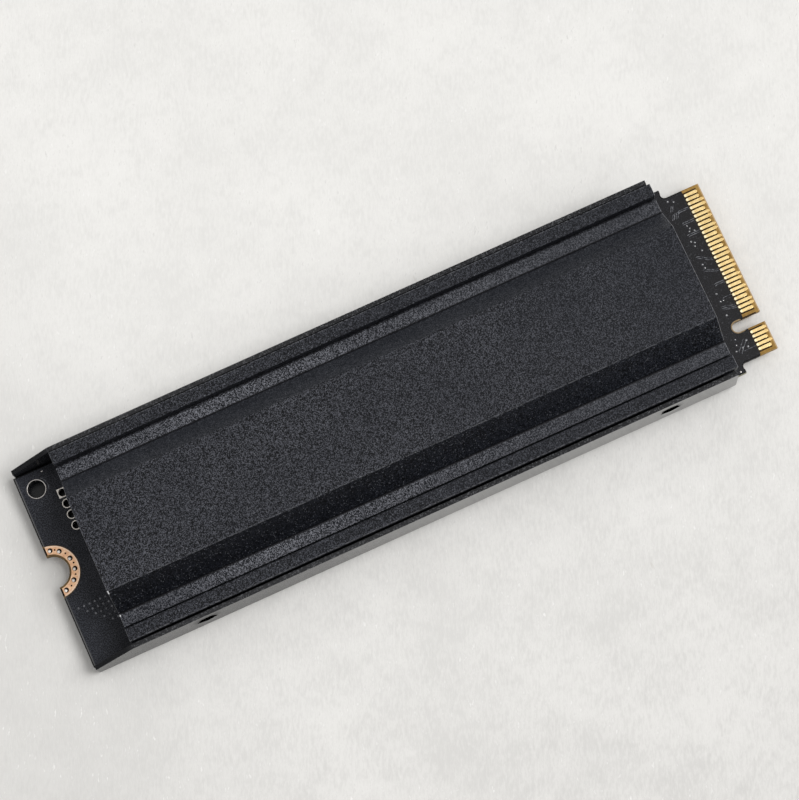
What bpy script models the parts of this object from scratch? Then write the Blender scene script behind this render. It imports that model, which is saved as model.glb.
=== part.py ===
# Gumstick solid state drive: an edge connector board, 22 mm by 80 mm, that lies between
# a folded sheet tray and a profiled aluminium heatsink which snaps into the tray.
# Metres, +Z up. The origin is the middle of the tray's underside, and +X runs along the
# board to its contact end.

import math

import bmesh
import bpy
from mathutils import Matrix, Vector

mm = 0.001

# Board. Its long edges run along X, and the contact end is a narrower tongue.
board_length = 80.0 * mm
board_width = 22.0 * mm
board_thickness = 0.8 * mm
tongue_width = 19.85 * mm
tongue_length = 4.0 * mm
tongue_fillet = 0.9 * mm
key_width = 1.2 * mm
key_depth = 3.5 * mm
key_offset = 6.125 * mm
screw_hole_radius = 1.75 * mm
tooling_hole_radius = 0.85 * mm
tooling_hole_from_end = 1.88 * mm
tooling_hole_from_edge = 2.0 * mm

# Copper on the board: contact fingers, screw land and the four hole test header.
copper_height = 0.04 * mm
copper_root = 0.1 * mm
contact_pitch = 0.5 * mm
contact_width = 0.35 * mm
contact_back = 1.97 * mm
long_contact_setback = 0.07 * mm
short_contact_setback = 0.38 * mm
contact_tip_taper = 0.3 * mm
top_contact_places = 38
bottom_contact_places = 37
key_contact_start = 29
key_contact_count = 4
ground_contact_step = 3
ground_places_past_key = (35, 37)
land_outer_radius = 2.88 * mm
land_edge_margin = 0.16 * mm
header_pitch = 1.27 * mm
header_holes = 4
header_hole_radius = 0.36 * mm
header_pad_radius = 0.53 * mm
header_from_end = 4.25 * mm
header_from_edge = 3.5 * mm

# Tray: one folded sheet with a base and two side walls.
sheet_thickness = 0.5 * mm
tray_bend_radius = 0.3 * mm
tray_wall_height = 7.0 * mm
tray_rear_wall_height = 3.6 * mm
tray_rear_setback = 0.26 * mm
tray_front_setback = 5.05 * mm
tray_front_rake = 0.6 * mm
tray_rake_foot = 1.5 * mm
board_side_clearance = 0.08 * mm
standoff_notch_radius = 3.3 * mm

# Snaps: above each slit the wall is pressed inward as a lance, into a groove in the heatsink.
snap_slit_length = 2.0 * mm
snap_slit_height = 0.35 * mm
snap_slit_base = 3.85 * mm
snap_lance_length = 3.0 * mm
snap_lance_depth = 0.3 * mm
snap_groove_depth = 0.45 * mm
snap_groove_height = 1.8 * mm
snap_groove_clearance = 0.12 * mm
front_snap_from_tip = 13.4 * mm
rear_snap_from_end = 13.15 * mm

# Heatsink: one extruded section, cut square at both ends.
heatsink_front_setback = 5.64 * mm
heatsink_rear_setback = 4.97 * mm
plateau_half_width = 5.36 * mm
slope_run = 2.31 * mm
plateau_rise = 2.6 * mm
ledge_thickness = 2.66 * mm
ledge_half_width = 9.16 * mm
groove_width = 0.31 * mm
groove_depth = 1.7 * mm
flange_rise = 0.9 * mm
skirt_thickness = 0.9 * mm
skirt_side_clearance = 0.21 * mm
skirt_board_clearance = 0.3 * mm
section_edge_radius = 0.1 * mm

# Pads that carry the heat, and the clearance where one piece lies on another.
face_clearance = 0.02 * mm
bottom_pad_thickness = 0.76 * mm
bottom_pad_side_margin = 1.6 * mm
top_pad_thickness = 0.75 * mm
top_pad_side_clearance = 0.6 * mm
top_pad_overhang = 1.0 * mm

# Parts soldered to the top of the board: along X, along Y, height.
lane_capacitor_size = (1.0 * mm, 0.5 * mm, 0.5 * mm)
lane_capacitor_count = 8
lane_capacitor_pitch = 1.8 * mm
inductor_size = (2.5 * mm, 2.0 * mm, 1.0 * mm)
inductor_count = 3
inductor_pitch = 3.0 * mm
regulator_size = (4.0 * mm, 4.0 * mm, 0.8 * mm)
bulk_capacitor_size = (2.0 * mm, 1.25 * mm, 0.9 * mm)
bulk_capacitor_count = 6
bulk_capacitor_pitch = 2.6 * mm
controller_size = (12.0 * mm, 12.0 * mm, 1.0 * mm)
crystal_size = (2.5 * mm, 2.0 * mm, 0.6 * mm)
boot_flash_size = (4.0 * mm, 3.0 * mm, 0.6 * mm)
memory_size = (12.0 * mm, 18.0 * mm, 1.0 * mm)
memory_count = 2
filter_capacitor_size = (1.0 * mm, 0.5 * mm, 0.5 * mm)
filter_capacitor_count = 8
filter_capacitor_pitch = 2.0 * mm
resistor_size = (1.0 * mm, 0.5 * mm, 0.35 * mm)
resistor_count = 6
resistor_pitch = 2.4 * mm
first_row_from_tip = 7.0 * mm
row_gap = 1.2 * mm
package_standoff = 0.2 * mm
package_substrate = 0.3 * mm
package_mould_inset = 0.12 * mm
ball_radius = 0.22 * mm
ball_pitch = 1.0 * mm
ball_edge_margin = 1.0 * mm
terminal_length = 0.25 * mm
terminal_wrap = 0.03 * mm
chip_edge_radius = 0.05 * mm

# Where the pieces meet.
tip_x = board_length / 2
end_x = -board_length / 2
board_base = sheet_thickness + 2 * face_clearance + bottom_pad_thickness
board_top = board_base + board_thickness
tray_inner_half = board_width / 2 + board_side_clearance
tray_outer_half = tray_inner_half + sheet_thickness
tray_rear_x = end_x + tray_rear_setback
tray_front_x = tip_x - tray_front_setback
heatsink_front_x = tip_x - heatsink_front_setback
heatsink_rear_x = end_x + heatsink_rear_setback
package_top = board_top + package_standoff + max(controller_size[2], memory_size[2])
top_pad_base = package_top + face_clearance
heatsink_base = top_pad_base + top_pad_thickness + face_clearance
ledge_level = heatsink_base + ledge_thickness
flange_level = ledge_level + flange_rise
skirt_outer_half = tray_inner_half - skirt_side_clearance
skirt_inner_half = skirt_outer_half - skirt_thickness
snap_slit_top = snap_slit_base + snap_slit_height
snap_groove_base = snap_slit_top - snap_groove_clearance
cut_margin = 1.0 * mm

# How finely round shapes are drawn.
small_arc_steps = 6
key_arc_steps = 12
hole_arc_steps = 24
land_arc_steps = 28
finger_arc_steps = 4
ball_segments = 8
drill_segments = 20
tooling_segments = 32
notch_segments = 64
lance_rows = 3


def clear_scene():
    for obj in list(bpy.data.objects):
        bpy.data.objects.remove(obj, do_unlink=True)


def make_collection(name):
    collection = bpy.data.collections.new(name)
    bpy.context.scene.collection.children.link(collection)
    return collection


def make_material(name, colour, roughness, metallic):
    material = bpy.data.materials.new(name)
    material.use_nodes = True
    shader = material.node_tree.nodes["Principled BSDF"]
    shader.inputs["Base Color"].default_value = (*colour, 1.0)
    shader.inputs["Roughness"].default_value = roughness
    shader.inputs["Metallic"].default_value = metallic
    return material


def arc(centre, radius, start, end, steps):
    """Points on an arc in degrees, with both ends."""
    points = []
    for step in range(steps + 1):
        angle = math.radians(start + (end - start) * step / steps)
        points.append((centre[0] + radius * math.cos(angle), centre[1] + radius * math.sin(angle)))
    return points


def add_prism(mesh, outline, low, high, axis="Z"):
    """Fill a closed outline and extrude it from low to high along an axis."""
    if axis == "Z":
        corners = [(u, v, low) for u, v in outline]
        travel = Vector((0, 0, high - low))
    elif axis == "X":
        corners = [(low, u, v) for u, v in outline]
        travel = Vector((high - low, 0, 0))
    else:
        corners = [(u, low, v) for u, v in outline]
        travel = Vector((0, high - low, 0))
    face = mesh.faces.new([mesh.verts.new(corner) for corner in corners])
    side = bmesh.ops.extrude_face_region(mesh, geom=[face])
    moved = [item for item in side["geom"] if isinstance(item, bmesh.types.BMVert)]
    bmesh.ops.translate(mesh, verts=moved, vec=travel)


def add_block(mesh, centre, size):
    scale = Matrix.Diagonal((*size, 1.0))
    bmesh.ops.create_cube(mesh, size=1.0, matrix=Matrix.Translation(centre) @ scale)


def add_cylinder(mesh, centre, radius, height, segments):
    bmesh.ops.create_cone(mesh, cap_ends=True, segments=segments, radius1=radius, radius2=radius,
                          depth=height, matrix=Matrix.Translation(centre))


def make_object(name, mesh, material, collection):
    """Turn a bmesh into an object whose faces point outward."""
    bmesh.ops.recalc_face_normals(mesh, faces=mesh.faces[:])
    data = bpy.data.meshes.new(name)
    mesh.to_mesh(data)
    mesh.free()
    if material:
        data.materials.append(material)
    obj = bpy.data.objects.new(name, data)
    collection.objects.link(obj)
    return obj


def make_cutter(name, mesh):
    cutter = make_object(name, mesh, None, cutters)
    cutter.hide_render = True
    cutter.display_type = "WIRE"
    return cutter


def combine(obj, tool, operation):
    modifier = obj.modifiers.new(tool.name, "BOOLEAN")
    modifier.operation = operation
    modifier.solver = "EXACT"
    modifier.object = tool


def soften(obj, width, segments=1):
    modifier = obj.modifiers.new("edges", "BEVEL")
    modifier.width = width
    modifier.segments = segments
    modifier.limit_method = "ANGLE"
    modifier.angle_limit = math.radians(30)


def board_outline():
    """The routed edge of the board, counter-clockwise from the lower rear corner."""
    half = board_width / 2
    tongue = tongue_width / 2
    shoulder_x = tip_x - tongue_length
    key_end = tip_x - key_depth + key_width / 2
    fillet_x = shoulder_x + tongue_fillet
    points = [(end_x, -half), (shoulder_x, -half)]
    points += arc((fillet_x, -tongue - tongue_fillet), tongue_fillet, 180, 90, small_arc_steps)
    points += [(tip_x, -tongue), (tip_x, -key_offset - key_width / 2)]
    points += arc((key_end, -key_offset), key_width / 2, 270, 90, key_arc_steps)
    points += [(tip_x, -key_offset + key_width / 2), (tip_x, tongue)]
    points += arc((fillet_x, tongue + tongue_fillet), tongue_fillet, 270, 180, small_arc_steps)
    points += [(shoulder_x, half), (end_x, half)]
    points += arc((end_x, 0), screw_hole_radius, 90, -90, hole_arc_steps)
    return points


def contact_outline(y, is_long):
    """One finger: round at the board side, tapered where it runs to the tip."""
    half = contact_width / 2
    back_x = tip_x - contact_back
    front_x = tip_x - (long_contact_setback if is_long else short_contact_setback)
    points = arc((back_x + half, y), half, 90, 270, finger_arc_steps)
    points += [(front_x - contact_tip_taper, y - half), (front_x, y - half / 2)]
    points += [(front_x, y + half / 2), (front_x - contact_tip_taper, y + half)]
    return points


def contact_rows(places):
    """The finger places on one face of the tongue as (y, is_long), without the key's."""
    rows = []
    for place in range(places):
        if key_contact_start <= place < key_contact_start + key_contact_count:
            continue
        y = (top_contact_places - 1) * contact_pitch / 2 - place * contact_pitch
        if places == bottom_contact_places:
            y -= contact_pitch / 2
        if place < key_contact_start:
            is_ground = place == 0 or place % ground_contact_step == 1
        else:
            is_ground = place in ground_places_past_key
        rows.append((y, not is_ground))
    return rows


def land_outline():
    """The copper land round the screw hole, kept back from the routed edges."""
    inner = screw_hole_radius + land_edge_margin
    outer_angle = math.degrees(math.acos(land_edge_margin / land_outer_radius))
    inner_angle = math.degrees(math.acos(land_edge_margin / inner))
    points = arc((end_x, 0), land_outer_radius, -outer_angle, outer_angle, land_arc_steps)
    points += arc((end_x, 0), inner, inner_angle, -inner_angle, hole_arc_steps)
    return points


def header_places():
    x = end_x + header_from_end
    y = board_width / 2 - header_from_edge
    return [(x, y - hole * header_pitch) for hole in range(header_holes)]


def build_board():
    mesh = bmesh.new()
    add_prism(mesh, board_outline(), board_base, board_top)
    board = make_object("pcb", mesh, mask_material, drive)

    copper = bmesh.new()
    for y, is_long in contact_rows(top_contact_places):
        add_prism(copper, contact_outline(y, is_long), board_top - copper_root, board_top + copper_height)
    for y, is_long in contact_rows(bottom_contact_places):
        add_prism(copper, contact_outline(y, is_long), board_base - copper_height, board_base + copper_root)
    add_prism(copper, land_outline(), board_top - copper_root, board_top + copper_height)
    add_prism(copper, land_outline(), board_base - copper_height, board_base + copper_root)
    pad_height = copper_height + copper_root
    for number, (x, y) in enumerate(header_places()):
        centre = Vector((x, y, board_top + copper_height - pad_height / 2))
        if number == 0:
            add_block(copper, centre, (2 * header_pad_radius, 2 * header_pad_radius, pad_height))
        else:
            add_cylinder(copper, centre, header_pad_radius, pad_height, drill_segments)
    combine(board, make_cutter("board_copper", copper), "UNION")

    holes = bmesh.new()
    middle = (board_base + board_top) / 2
    drill_length = board_thickness + 2 * cut_margin
    tooling = Vector((end_x + tooling_hole_from_end, board_width / 2 - tooling_hole_from_edge, middle))
    add_cylinder(holes, tooling, tooling_hole_radius, drill_length, tooling_segments)
    for x, y in header_places():
        add_cylinder(holes, Vector((x, y, middle)), header_hole_radius, drill_length, drill_segments)
    combine(board, make_cutter("board_drills", holes), "DIFFERENCE")
    return board


def snap_places():
    return (tip_x - front_snap_from_tip, end_x + rear_snap_from_end)


def lance_depth(x, z):
    """How far the wall is pressed inward: most at the middle of a slit, nothing at the rim."""
    rise = (z - snap_slit_top) / (tray_wall_height - snap_slit_top)
    for place in snap_places():
        away = 2 * abs(x - place) / snap_lance_length
        if rise >= 0 and away < 1:
            return snap_lance_depth * math.cos(away * math.pi / 2) * (1 - rise) ** 2
    return 0.0


def tray_columns():
    """Places along the tray, with closer ones where a lance curves the wall."""
    columns = [tray_rear_x, tray_front_x]
    for place in snap_places():
        for reach in (snap_slit_length / 4, snap_slit_length / 2, snap_lance_length / 2):
            columns += [place - reach, place + reach]
        columns.append(place)
    return sorted(columns)


def tray_rows():
    """The outer surface of the folded sheet, from one wall's rim to the other's, in Y and Z."""
    radius = tray_bend_radius + sheet_thickness
    bend_y = tray_outer_half - radius
    lance_rise = tray_wall_height - snap_slit_top
    levels = [tray_wall_height - lance_rise * step / lance_rows for step in range(lance_rows + 1)]
    wall = [(tray_outer_half, z) for z in levels + [snap_slit_base]]
    half = wall + arc((bend_y, radius), radius, 0, -90, small_arc_steps)
    return half + [(-y, z) for y, z in reversed(half)]


def add_folded_sheet(mesh):
    """The sheet's outer surface as a grid that leaves the slits open."""
    rows, columns = tray_rows(), tray_columns()
    grid = []
    for y, z in rows:
        side = math.copysign(1, y)
        grid.append([mesh.verts.new((x, y - side * lance_depth(x, z), z)) for x in columns])
    for row in range(len(rows) - 1):
        middle_z = (rows[row][1] + rows[row + 1][1]) / 2
        for column in range(len(columns) - 1):
            middle_x = (columns[column] + columns[column + 1]) / 2
            near_slit = any(abs(middle_x - place) < snap_slit_length / 2 for place in snap_places())
            if near_slit and snap_slit_base < middle_z < snap_slit_top:
                continue
            mesh.faces.new((grid[row][column], grid[row][column + 1],
                            grid[row + 1][column + 1], grid[row + 1][column]))


def build_tray():
    mesh = bmesh.new()
    add_folded_sheet(mesh)
    tray = make_object("tray", mesh, tray_material, drive)
    fold = tray.modifiers.new("sheet", "SOLIDIFY")
    fold.thickness = sheet_thickness
    fold.offset = -1.0
    fold.use_even_offset = True

    across = tray_outer_half + cut_margin
    above = tray_wall_height + cut_margin
    ends = bmesh.new()
    rear_cut = [(tray_rear_x - cut_margin, tray_rear_wall_height), (tray_rear_x, tray_rear_wall_height),
                (heatsink_rear_x, tray_wall_height), (heatsink_rear_x, above),
                (tray_rear_x - cut_margin, above)]
    add_prism(ends, rear_cut, -across, across, "Y")
    front_cut = [(tray_front_x, tray_rake_foot), (tray_front_x + cut_margin, tray_rake_foot),
                 (tray_front_x + cut_margin, above), (tray_front_x - tray_front_rake, above),
                 (tray_front_x - tray_front_rake, tray_wall_height)]
    add_prism(ends, front_cut, -across, across, "Y")
    combine(tray, make_cutter("tray_end_cuts", ends), "DIFFERENCE")

    notch = bmesh.new()
    notch_height = 2 * (sheet_thickness + cut_margin)
    add_cylinder(notch, Vector((end_x, 0, 0)), standoff_notch_radius, notch_height, notch_segments)
    combine(tray, make_cutter("tray_notch", notch), "DIFFERENCE")
    return tray


def heatsink_section():
    """The extruded section in Y and Z: plateau, slopes, ledges, grooves, flanges and grooved skirts."""
    skirt_base = board_top + skirt_board_clearance
    groove_outer = ledge_half_width + groove_width
    groove_floor = flange_level - groove_depth
    snap_groove_floor = skirt_outer_half - snap_groove_depth
    snap_groove_top = snap_groove_base + snap_groove_height
    half = [(skirt_inner_half, heatsink_base), (skirt_inner_half, skirt_base),
            (skirt_outer_half, skirt_base), (skirt_outer_half, snap_groove_base),
            (snap_groove_floor, snap_groove_base), (snap_groove_floor, snap_groove_top),
            (skirt_outer_half, snap_groove_top), (skirt_outer_half, flange_level),
            (groove_outer, flange_level), (groove_outer, groove_floor),
            (ledge_half_width, groove_floor), (ledge_half_width, ledge_level),
            (plateau_half_width + slope_run, ledge_level),
            (plateau_half_width, ledge_level + plateau_rise)]
    return half + [(-y, z) for y, z in reversed(half)]


def build_heatsink():
    mesh = bmesh.new()
    add_prism(mesh, heatsink_section(), heatsink_rear_x, heatsink_front_x, "X")
    heatsink = make_object("heatsink", mesh, heatsink_material, drive)
    soften(heatsink, section_edge_radius, 2)
    return heatsink


def build_pad(name, x_low, x_high, half_width, base, thickness):
    mesh = bmesh.new()
    centre = Vector(((x_low + x_high) / 2, 0, base + thickness / 2))
    add_block(mesh, centre, (x_high - x_low, 2 * half_width, thickness))
    return make_object(name, mesh, pad_material, drive)


def build_package(name, x, y, size):
    """A ball grid package: a flat substrate on solder balls, with a moulded cap set in from its edge."""
    length, width, height = size
    base = board_top + package_standoff
    inset = 2 * package_mould_inset
    mesh = bmesh.new()
    add_block(mesh, Vector((x, y, base + package_substrate / 2)), (length, width, package_substrate))
    package = make_object(name, mesh, package_material, drive)
    cap = bmesh.new()
    cap_height = height - package_substrate / 2
    centre = Vector((x, y, base + height - cap_height / 2))
    add_block(cap, centre, (length - inset, width - inset, cap_height))
    combine(package, make_cutter(name + "_mould", cap), "UNION")

    balls = bmesh.new()
    ball_base = board_top + face_clearance
    ball_top = base + package_substrate / 2
    for ball_x, ball_y in ball_ring(length, width):
        centre = Vector((x + ball_x, y + ball_y, (ball_base + ball_top) / 2))
        add_cylinder(balls, centre, ball_radius, ball_top - ball_base, ball_segments)
    combine(package, make_cutter(name + "_balls", balls), "UNION")
    return package


def ball_ring(length, width):
    """Places of the solder balls: one pitched ring inside the edge of the package."""
    along = spread(1 + int((length - 2 * ball_edge_margin) / ball_pitch + 0.5), ball_pitch)
    across = spread(1 + int((width - 2 * ball_edge_margin) / ball_pitch + 0.5), ball_pitch)
    ring = [(u, v) for u in along for v in (across[0], across[-1])]
    return ring + [(u, v) for u in (along[0], along[-1]) for v in across[1:-1]]


def build_block_part(name, x, y, size, material):
    """A small moulded part that sits flat on its pads."""
    mesh = bmesh.new()
    add_block(mesh, Vector((0, 0, size[2] / 2)), size)
    part = make_object(name, mesh, material, drive)
    part.location = (x, y, board_top + face_clearance)
    soften(part, chip_edge_radius)
    return part


def build_chip(name, x, y, size, material):
    """A two terminal chip part: a body with a wrapped metal terminal at each end."""
    length, width, height = size
    mesh = bmesh.new()
    add_block(mesh, Vector((0, 0, height / 2)), (length - terminal_length, width - 2 * terminal_wrap,
                                                 height - 2 * terminal_wrap))
    part = make_object(name, mesh, material, drive)
    ends = bmesh.new()
    for side in (1, -1):
        centre = Vector((side * (length - terminal_length) / 2, 0, height / 2))
        add_block(ends, centre, (terminal_length, width, height))
    terminals = make_cutter(name + "_terminals", ends)
    terminals.parent = part
    combine(part, terminals, "UNION")
    part.location = (x, y, board_top + face_clearance)
    return part


def spread(count, pitch):
    """Evenly pitched places either side of the middle line."""
    return [((count - 1) / 2 - place) * pitch for place in range(count)]


def build_components():
    """Soldered parts in rows from the contact end back; each row starts where the last ended."""
    x = tip_x - first_row_from_tip - lane_capacitor_size[0] / 2
    for number, y in enumerate(spread(lane_capacitor_count, lane_capacitor_pitch), 1):
        build_chip(f"lane_capacitor_{number}", x, y, lane_capacitor_size, capacitor_material)
    row_front = x - lane_capacitor_size[0] / 2 - row_gap

    power_length = max(inductor_size[0], regulator_size[0])
    x = row_front - power_length / 2
    regulator_y = (memory_size[1] - regulator_size[1]) / 2
    build_block_part("power_regulator", x, regulator_y, regulator_size, package_material)
    inductor_span = (inductor_count - 1) * inductor_pitch + inductor_size[1]
    inductor_y = (inductor_span - memory_size[1]) / 2
    for number, y in enumerate(spread(inductor_count, inductor_pitch), 1):
        build_block_part(f"inductor_{number}", x, inductor_y + y, inductor_size, inductor_material)
    row_front = x - power_length / 2 - row_gap

    x = row_front - bulk_capacitor_size[0] / 2
    for number, y in enumerate(spread(bulk_capacitor_count, bulk_capacitor_pitch), 1):
        build_chip(f"bulk_capacitor_{number}", x, y, bulk_capacitor_size, capacitor_material)
    row_front = x - bulk_capacitor_size[0] / 2 - row_gap

    x = row_front - controller_size[0] / 2
    build_package("controller", x, 0, controller_size)
    pad_front_x = x + controller_size[0] / 2 + top_pad_overhang
    row_front = x - controller_size[0] / 2 - row_gap

    x = row_front - boot_flash_size[0] / 2
    boot_flash_y = (boot_flash_size[1] - controller_size[1]) / 2
    crystal_y = (controller_size[1] - crystal_size[1]) / 2
    build_block_part("boot_flash", x, boot_flash_y, boot_flash_size, package_material)
    build_block_part("clock_crystal", x, crystal_y, crystal_size, crystal_material)
    row_front = x - boot_flash_size[0] / 2 - row_gap

    for number in range(1, memory_count + 1):
        x = row_front - memory_size[0] / 2
        build_package(f"memory_package_{number}", x, 0, memory_size)
        memory_rear_x = x - memory_size[0] / 2
        row_front = memory_rear_x - row_gap
        if number < memory_count:
            x = row_front - filter_capacitor_size[0] / 2
            for place, y in enumerate(spread(filter_capacitor_count, filter_capacitor_pitch), 1):
                build_chip(f"filter_capacitor_{place}", x, y, filter_capacitor_size, capacitor_material)
            row_front = x - filter_capacitor_size[0] / 2 - row_gap

    x = row_front - resistor_size[0] / 2
    for number, y in enumerate(spread(resistor_count, resistor_pitch), 1):
        build_chip(f"resistor_{number}", x, y, resistor_size, resistor_material)

    build_pad("thermal_pad_top", memory_rear_x - top_pad_overhang, pad_front_x,
              skirt_inner_half - top_pad_side_clearance, top_pad_base, top_pad_thickness)


clear_scene()
drive = make_collection("gumstick_drive")
cutters = make_collection("cutters")

heatsink_material = make_material("black_anodised", (0.035, 0.035, 0.042), 0.5, 0.6)
tray_material = make_material("black_coated_sheet", (0.03, 0.03, 0.034), 0.35, 0.5)
mask_material = make_material("black_solder_mask", (0.017, 0.018, 0.023), 0.4, 0.0)
pad_material = make_material("grey_thermal_pad", (0.32, 0.33, 0.36), 0.85, 0.0)
package_material = make_material("black_mould", (0.022, 0.022, 0.024), 0.6, 0.0)
capacitor_material = make_material("tan_ceramic", (0.34, 0.24, 0.15), 0.55, 0.0)
resistor_material = make_material("black_resistor", (0.02, 0.02, 0.02), 0.5, 0.0)
inductor_material = make_material("grey_ferrite", (0.12, 0.12, 0.125), 0.6, 0.1)
crystal_material = make_material("steel_lid", (0.7, 0.7, 0.7), 0.3, 1.0)

build_tray()
build_pad("thermal_pad_bottom", end_x + standoff_notch_radius + bottom_pad_side_margin,
          tray_front_x - bottom_pad_side_margin, board_width / 2 - bottom_pad_side_margin,
          sheet_thickness + face_clearance, bottom_pad_thickness)
build_board()
build_components()
build_heatsink()
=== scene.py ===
import math

import bmesh
import bpy
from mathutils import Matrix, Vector


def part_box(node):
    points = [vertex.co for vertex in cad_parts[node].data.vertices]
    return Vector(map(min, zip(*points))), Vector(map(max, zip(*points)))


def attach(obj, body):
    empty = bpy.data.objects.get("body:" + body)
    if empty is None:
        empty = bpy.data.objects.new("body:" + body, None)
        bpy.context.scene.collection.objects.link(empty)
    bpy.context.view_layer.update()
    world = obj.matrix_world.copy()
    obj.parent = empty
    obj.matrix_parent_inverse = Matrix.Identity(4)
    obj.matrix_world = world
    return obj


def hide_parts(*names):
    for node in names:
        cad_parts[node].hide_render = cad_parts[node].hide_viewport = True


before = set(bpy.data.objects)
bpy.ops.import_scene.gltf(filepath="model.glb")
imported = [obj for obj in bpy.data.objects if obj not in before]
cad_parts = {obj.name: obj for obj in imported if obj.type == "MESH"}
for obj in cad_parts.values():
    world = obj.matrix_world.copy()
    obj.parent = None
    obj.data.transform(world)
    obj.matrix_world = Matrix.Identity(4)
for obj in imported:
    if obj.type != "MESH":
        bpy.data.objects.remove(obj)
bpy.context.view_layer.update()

# The looks of the gumstick drive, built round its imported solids.
# Lengths are in millimetres here, and every mesh is brought to metres as it is made.

mm = 0.001
print("frame loaded,", len(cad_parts), "solids")


class Wire:
    # one output socket; Python's operators add Math nodes to the tree that it belongs to
    def __init__(self, owner, socket):
        self.owner = owner
        self.socket = socket

    def maths(self, operation, *values):
        return self.owner.node("ShaderNodeMath", {"operation": operation}, dict(enumerate(values)))

    def __add__(self, other):
        return self.maths("ADD", self, other)

    def __radd__(self, other):
        return self.maths("ADD", other, self)

    def __sub__(self, other):
        return self.maths("SUBTRACT", self, other)

    def __rsub__(self, other):
        return self.maths("SUBTRACT", other, self)

    def __mul__(self, other):
        return self.maths("MULTIPLY", self, other)

    def __rmul__(self, other):
        return self.maths("MULTIPLY", other, self)

    def __truediv__(self, other):
        return self.maths("DIVIDE", self, other)

    def __rtruediv__(self, other):
        return self.maths("DIVIDE", other, self)

    def __mod__(self, other):
        return self.maths("FLOORED_MODULO", self, other)

    def __rmod__(self, other):
        return self.maths("FLOORED_MODULO", other, self)

    def __gt__(self, other):
        return self.maths("GREATER_THAN", self, other)

    def __lt__(self, other):
        return self.maths("LESS_THAN", self, other)

    def __abs__(self):
        return self.maths("ABSOLUTE", self)


class NodeTree:
    # the nodes of a finish or of the sky, all made by one method
    def __init__(self, tree):
        self.tree = tree

    def node(self, kind, settings=None, values=None, out=0):
        made = self.tree.nodes.new(kind)
        for name, setting in (settings or {}).items():
            setattr(made, name, setting)
        for name, value in (values or {}).items():
            if isinstance(value, Wire):
                self.tree.links.new(value.socket, made.inputs[name])
            else:
                made.inputs[name].default_value = value
        return Wire(self, made.outputs[out])

    def place(self):
        return self.node("ShaderNodeTexCoord", out="Object")

    def axes(self, names):
        # the place's coordinates, in millimetres
        place = self.place()
        return [self.node("ShaderNodeSeparateXYZ", {}, {0: place}, out=name) / mm for name in names]

    def reach(self, *point):
        # how far the place is from a point
        values = {0: self.place(), 1: [v * mm for v in point]}
        return self.node("ShaderNodeVectorMath", {"operation": "DISTANCE"}, values, out="Value") / mm

    def stretched(self, scale):
        return self.node("ShaderNodeVectorMath", {"operation": "MULTIPLY"}, {0: self.place(), 1: scale})

    def noise(self, size, detail=2.0, rough=0.5, place=None, out=0):
        values = {"Vector": place or self.place(), "Scale": 1 / (size * mm)}
        return self.node("ShaderNodeTexNoise", {}, {**values, "Detail": detail, "Roughness": rough}, out=out)

    def cells(self, size, out="Distance", place=None):
        values = {"Vector": place or self.place(), "Scale": 1 / (size * mm)}
        return self.node("ShaderNodeTexVoronoi", {}, values, out=out)

    def ragged(self, size, reach):
        # the place, shifted about by a fine noise, so that cells get uneven borders
        values = {0: self.noise(size, 1.0, out="Color"), 1: (reach * mm,) * 3, 2: self.place()}
        return self.node("ShaderNodeVectorMath", {"operation": "MULTIPLY_ADD"}, values)

    def beads(self, size, border, channels):
        # a random value for each of the ragged cells, one for each channel of its colour
        colour = self.cells(size, out="Color", place=self.ragged(*border))
        return [self.node("ShaderNodeSeparateColor", {}, {0: colour}, out=channel) for channel in channels]

    def remap(self, value, low, high, to=(0.0, 1.0)):
        values = {0: value, 1: low, 2: high, 3: to[0], 4: to[1]}
        return self.node("ShaderNodeMapRange", {"interpolation_type": "SMOOTHSTEP"}, values)

    def between(self, value, low, high, soft):
        return self.remap(value, low - soft, low + soft) * (1 - self.remap(value, high - soft, high + soft))

    def mix(self, mask, first, second):
        first, second = [c if isinstance(c, Wire) else (*c, 1.0) for c in (first, second)]
        settings = {"data_type": "RGBA", "blend_type": "MIX", "clamp_factor": True}
        return self.node("ShaderNodeMix", settings, {0: mask, 6: first, 7: second}, out=2)


class Finish(NodeTree):
    # a material; what is the same all over it is set on the shader's own sockets
    def __init__(self, name, **fixed):
        self.material = bpy.data.materials.new(name)
        self.material.use_nodes = True
        super().__init__(self.material.node_tree)
        self.shader = self.tree.nodes["Principled BSDF"]
        for socket, value in fixed.items():
            self.shader.inputs[socket.replace("_", " ")].default_value = value

    def feed(self, **wires):
        for socket, wire in wires.items():
            self.tree.links.new(wire.socket, self.shader.inputs[socket.replace("_", " ")])

    def bump(self, height, depth, strength):
        values = {"Height": height, "Distance": depth * mm, "Strength": strength}
        self.feed(Normal=self.node("ShaderNodeBump", {}, values))


def addObject(name, data):
    made = bpy.data.objects.new(name, data)
    bpy.context.scene.collection.objects.link(made)
    return made


def inMetres(name, mesh):
    data = bpy.data.meshes.new(name)
    mesh.to_mesh(data)
    mesh.free()
    data.transform(((mm, 0, 0, 0), (0, mm, 0, 0), (0, 0, mm, 0), (0, 0, 0, 1)))
    return data


def addPiece(name, mesh, finishes, replaces=(), smooth=True):
    data = inMetres(name, mesh)
    for polygon in data.polygons:
        polygon.use_smooth = smooth and abs(polygon.normal.z) < 0.999      # level faces stay flat
    piece = addObject(name, data)
    for finish in finishes:
        data.materials.append(finish.material)
    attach(piece, "root")
    if replaces:
        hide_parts(*replaces)
    return piece


def addBevel(piece, width, segments, angle=30, weighted=False):
    bevel = piece.modifiers.new("edges", "BEVEL")
    bevel.width = width * mm
    bevel.segments = segments
    bevel.limit_method = "WEIGHT" if weighted else "ANGLE"
    bevel.angle_limit = math.radians(angle)
    bevel.harden_normals = True


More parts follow.
